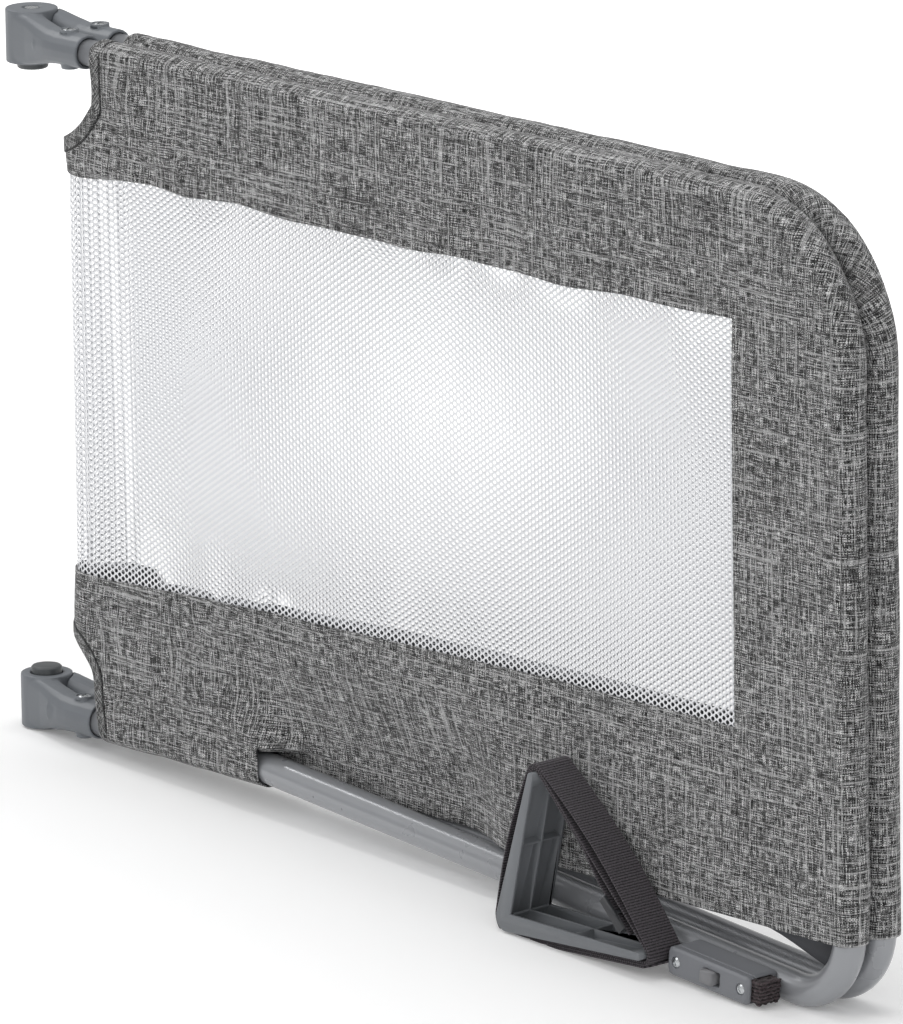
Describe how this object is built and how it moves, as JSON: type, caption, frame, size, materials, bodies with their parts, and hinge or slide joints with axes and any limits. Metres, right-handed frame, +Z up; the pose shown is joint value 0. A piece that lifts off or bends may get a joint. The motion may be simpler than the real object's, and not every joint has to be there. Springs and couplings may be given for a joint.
{
  "type": "folding bed guard rail",
  "caption": "Folding bed guard rail of bent tube halves on locking hinges, with a fabric and net cover, a strap anchor and a tube clamp.",
  "frame": {"origin": "middle of the folded rail's box, on the level of the underside of its lower outer corners", "axes": "+X runs along the rail from the fold to its outer corners, +Y from the front half to the rear half, +Z up"},
  "size_m": [0.7487, 0.0802, 0.4788],
  "materials": {
    "tube": "satin grey powder coat",
    "hinge_plastic": "fine moulded grey",
    "button": "dark grey, satin",
    "zinc": "zinc plated",
    "cover_cloth": "mid grey melange woven cloth",
    "binding": "bias-cut strip of the cover cloth",
    "net": "white knitted net",
    "anchor_plastic": "moulded grey",
    "strap": "dark ribbed webbing",
    "buckle": "black moulded",
    "clamp_plastic": "moulded grey",
    "clamp_switch": "light grey, satin"
  },
  "bodies": {
    "front_half": {"front_upper_tube": "tube", "front_lower_tube": "tube", "front_tube_rivet": "zinc", "front_cover": "cover_cloth", "front_mesh": "net", "front_upper_binding": "binding", "front_lower_binding": "binding", "upper_front_knuckle": "hinge_plastic", "lower_front_knuckle": "hinge_plastic", "upper_front_socket_screw": "zinc", "lower_front_socket_screw": "zinc", "lower_axle": "zinc", "lower_spring": "zinc", "anchor_bracket": "anchor_plastic", "anchor_strap": "strap", "strap_buckle": "buckle", "clamp_body": "clamp_plastic", "clamp_front": "clamp_plastic", "clamp_screw_left": "zinc", "clamp_screw_right": "zinc", "strap_tail": "strap"},
    "rear_half": {"rear_upper_tube": "tube", "rear_lower_tube": "tube", "rear_tube_rivet": "zinc", "rear_cover": "cover_cloth", "rear_mesh": "net", "rear_upper_binding": "binding", "rear_lower_binding": "binding", "upper_rear_knuckle": "hinge_plastic", "lower_rear_knuckle": "hinge_plastic", "upper_rear_socket_screw": "zinc", "lower_rear_socket_screw": "zinc", "upper_axle": "zinc", "upper_spring": "zinc"},
    "upper_button": {"upper_button": "button"},
    "lower_button": {"lower_button": "button"},
    "clamp_switch": {"clamp_switch": "clamp_switch"}
  },
  "joints": [
    {"name": "fold", "type": "hinge", "parent": "front_half", "child": "rear_half", "pos_m": [-0.35835, 0.01695, 0.25625], "axis": [0, 0, 1], "range_deg": [0, 180]},
    {"name": "upper_button_press", "type": "slide", "parent": "rear_half", "child": "upper_button", "axis": [0, 0, 1], "range_m": [0, 0.003], "stiffness_N_per_m": 400, "springref_m": -0.002, "deforming": ["upper_spring"]},
    {"name": "lower_button_press", "type": "slide", "parent": "front_half", "child": "lower_button", "axis": [0, 0, -1], "range_m": [0, 0.003], "stiffness_N_per_m": 400, "springref_m": -0.002, "deforming": ["lower_spring"]},
    {"name": "switch_slide", "type": "slide", "parent": "front_half", "child": "clamp_switch", "axis": [0.9961, 0, -0.0882], "range_m": [0, 0.0035]}
  ]
}
